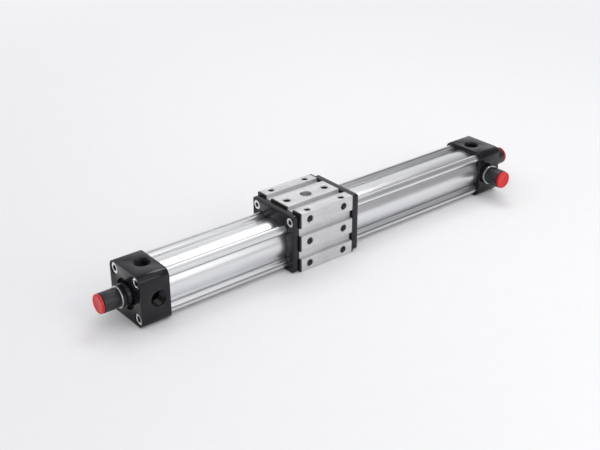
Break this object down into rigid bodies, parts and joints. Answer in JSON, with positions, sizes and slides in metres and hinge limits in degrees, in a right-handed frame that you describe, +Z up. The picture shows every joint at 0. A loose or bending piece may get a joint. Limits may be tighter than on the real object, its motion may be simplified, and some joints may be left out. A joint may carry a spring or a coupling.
{
  "type": "rodless pneumatic cylinder",
  "caption": "Magnetically coupled rodless pneumatic cylinder: lobed aluminium barrel between square end caps, a grooved sliding carriage with tapped faces, and plugged push-in connectors.",
  "frame": {"origin": "midway between the two fixing threads in the underside of the left cap, on the resting plane", "axes": "+X along the barrel from the left cap to the right cap, +Z up through the carriage's top face"},
  "size_m": [0.469, 0.0746, 0.0561],
  "materials": {
    "barrel_anodised": "clear anodised extruded aluminium, satin",
    "black_anodised": "satin black anodised aluminium",
    "screw_chrome": "bright plated steel",
    "rubber_black": "nitrile rubber",
    "bumper_rubber": "soft polyurethane",
    "hex_black": "black glass-filled polymer",
    "ring_silver": "bright nickel plate",
    "body_black": "black polymer, slight gloss",
    "plug_red": "glossy red polymer",
    "block_grey": "matt light grey anodised aluminium",
    "frame_black": "black moulded frame",
    "plate_black": "satin black anodised aluminium",
    "wiper_dark": "wiper polyurethane",
    "liner_polymer": "off-white bearing polymer",
    "magnet_plate": "nickel plated magnet",
    "yoke_steel": "plain soft iron",
    "steel": "turned steel",
    "piston_alu": "turned aluminium",
    "wear_brown": "filled bearing polymer"
  },
  "bodies": {
    "cylinder": {"barrel": "barrel_anodised", "cap_left": "black_anodised", "cap_right": "black_anodised", "cap_screws_left": "screw_chrome", "cap_screws_right": "screw_chrome", "spigot_orings": "rubber_black", "end_bumpers": "bumper_rubber", "conn_base_left": "hex_black", "conn_ring_left": "ring_silver", "conn_body_left": "body_black", "conn_base_right": "hex_black", "conn_ring_right": "ring_silver", "conn_body_right": "body_black", "conn_base_front": "hex_black", "conn_ring_front": "ring_silver", "conn_body_front": "body_black"},
    "carriage": {"carriage_block": "block_grey", "frame_left": "frame_black", "frame_right": "frame_black", "end_plate_left": "plate_black", "end_plate_right": "plate_black", "wiper_left": "wiper_dark", "wiper_right": "wiper_dark", "plate_screws_left": "screw_chrome", "plate_screws_right": "screw_chrome", "glide_liner_left": "liner_polymer", "glide_liner_right": "liner_polymer", "outer_magnets": "magnet_plate", "outer_yokes": "yoke_steel"},
    "piston": {"piston_stud": "steel", "piston_heads": "piston_alu", "piston_nuts": "steel", "piston_seals": "rubber_black", "wear_rings": "wear_brown", "inner_magnets": "magnet_plate", "pole_discs": "yoke_steel"},
    "plug_left": {"plug_left": "plug_red"},
    "plug_right": {"plug_right": "plug_red"},
    "plug_front": {"plug_front": "plug_red"}
  },
  "joints": [
    {"name": "carriage_slide", "type": "slide", "parent": "cylinder", "child": "carriage", "axis": [1, 0, 0], "range_m": [-0.102, 0.148]},
    {"name": "piston_slide", "type": "slide", "parent": "cylinder", "child": "piston", "axis": [1, 0, 0], "range_m": [-0.102, 0.148]},
    {"name": "plug_left_slide", "type": "slide", "parent": "cylinder", "child": "plug_left", "axis": [-1, 0, 0], "range_m": [0, 0.009]},
    {"name": "plug_right_slide", "type": "slide", "parent": "cylinder", "child": "plug_right", "axis": [1, 0, 0], "range_m": [0, 0.009]},
    {"name": "plug_front_slide", "type": "slide", "parent": "cylinder", "child": "plug_front", "axis": [0, -1, 0], "range_m": [0, 0.009]}
  ],
  "couplings": [
    {"joint": "piston_slide", "follows": "carriage_slide", "ratio": 1}
  ]
}
